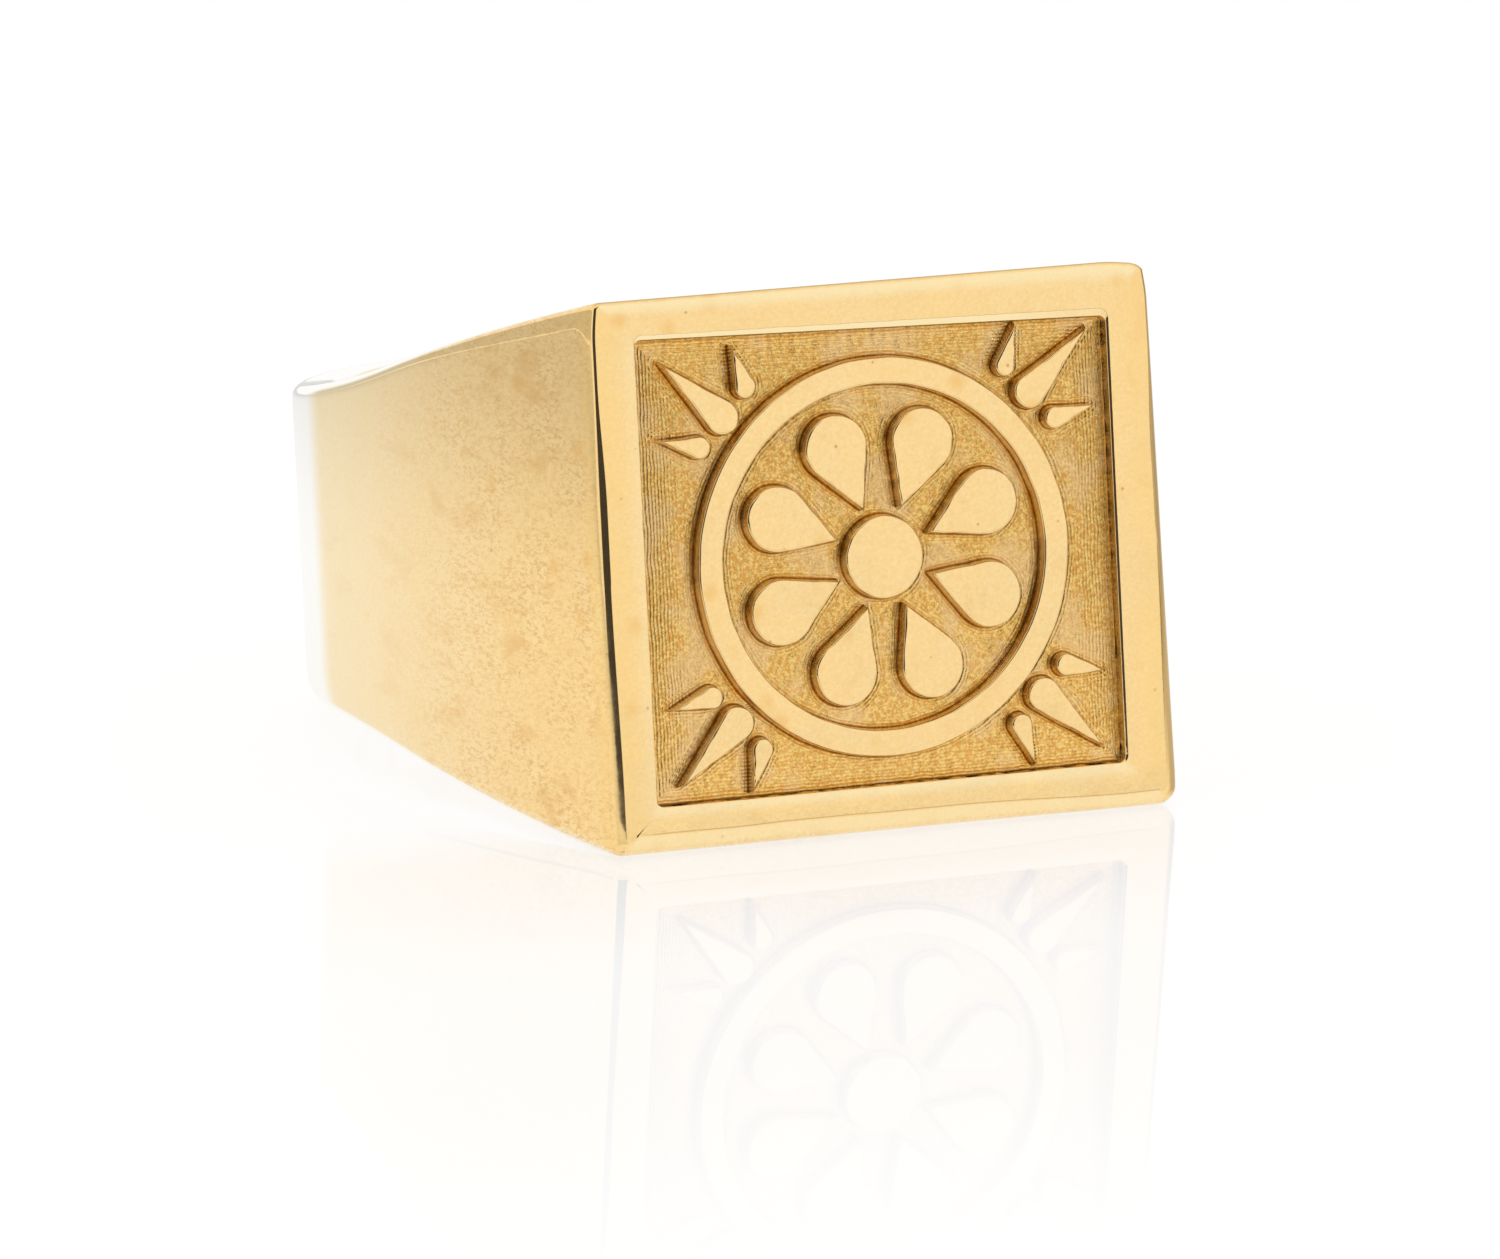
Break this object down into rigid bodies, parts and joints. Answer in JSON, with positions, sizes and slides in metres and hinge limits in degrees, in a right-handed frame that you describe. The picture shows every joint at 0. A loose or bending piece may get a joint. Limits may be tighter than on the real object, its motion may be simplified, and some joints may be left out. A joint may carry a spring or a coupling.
{
  "type": "signet ring",
  "caption": "Heavy yellow-gold signet ring: tapering band with flat shoulders, boxed head, sunk matt table in a polished border, raised rosette.",
  "frame": {"origin": "centre of the finger bore, midway between the ring's two sides", "axes": "+Z along the finger, -Y out of the signet table, +X across the head"},
  "size_m": [0.0218, 0.026, 0.0152],
  "materials": {
    "polished_gold": "polished 18 ct yellow gold, softly worn",
    "matt_gold": "graver-cut matt 18 ct yellow gold"
  },
  "bodies": {
    "root": {"shank": "polished_gold", "upper_gallery": "polished_gold", "lower_gallery": "polished_gold", "finger_liner": "polished_gold", "table_plate": "matt_gold", "table_border": "polished_gold", "emblem_boss": "polished_gold", "emblem_petals": "polished_gold", "emblem_circlet": "polished_gold", "emblem_leaves": "polished_gold"}
  },
  "joints": []
}
